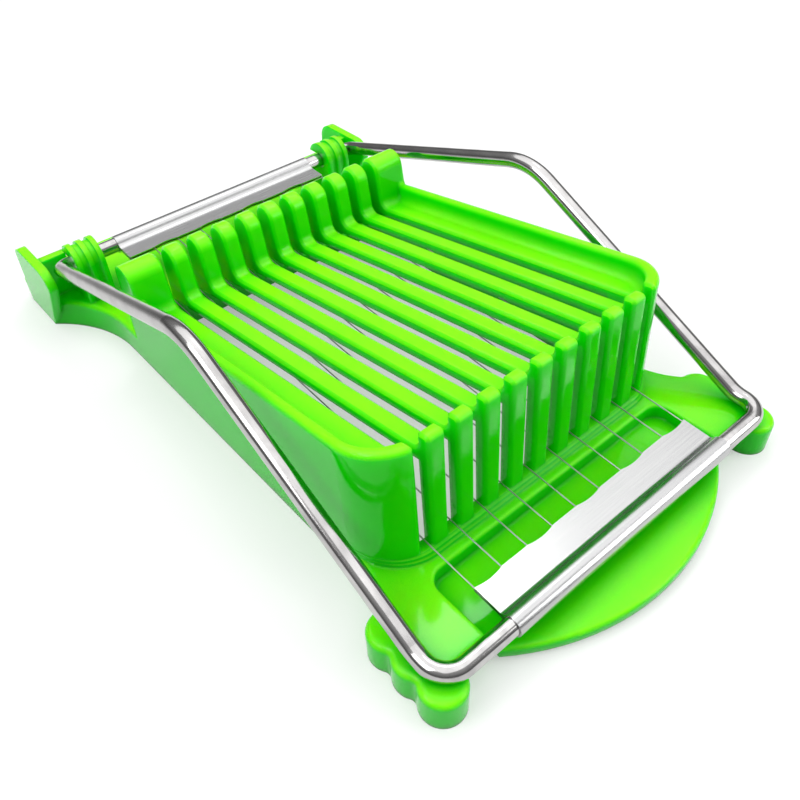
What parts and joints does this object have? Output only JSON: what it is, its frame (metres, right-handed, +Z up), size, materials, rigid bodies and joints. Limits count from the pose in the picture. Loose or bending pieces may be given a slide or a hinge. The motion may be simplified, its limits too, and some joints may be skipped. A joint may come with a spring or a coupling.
{
  "type": "wire slicer",
  "caption": "Hinged wire slicer for luncheon meat or eggs: a slotted sloping cradle with a comb, tray and tongue, and a bent rod frame that draws taut wires down through the slots.",
  "frame": {"origin": "centre of the bounding box at the height of the table", "axes": "+Z up, the hinge towards +Y, the handle bar and tongue towards -Y, X along the hinge axis"},
  "size_m": [0.1368, 0.234, 0.0549],
  "materials": {
    "moulding": "glossy moulded lime-green plastic",
    "rod": "drawn stainless steel rod, lightly polished",
    "sheet": "satin stainless steel sheet",
    "wire": "bright stainless steel wire"
  },
  "bodies": {
    "base": {"base": "moulding"},
    "frame": {"frame_rod": "rod", "front_wire_plate": "sheet", "rear_wire_plate": "sheet", "cutting_wire_01": "wire", "cutting_wire_02": "wire", "cutting_wire_03": "wire", "cutting_wire_04": "wire", "cutting_wire_05": "wire", "cutting_wire_06": "wire", "cutting_wire_07": "wire", "cutting_wire_08": "wire", "cutting_wire_09": "wire", "cutting_wire_10": "wire"}
  },
  "joints": [
    {"name": "frame_hinge", "type": "hinge", "parent": "base", "child": "frame", "pos_m": [0, 0.0875, 0.0236], "axis": [-1, 0, 0], "range_deg": [0, 130]}
  ]
}
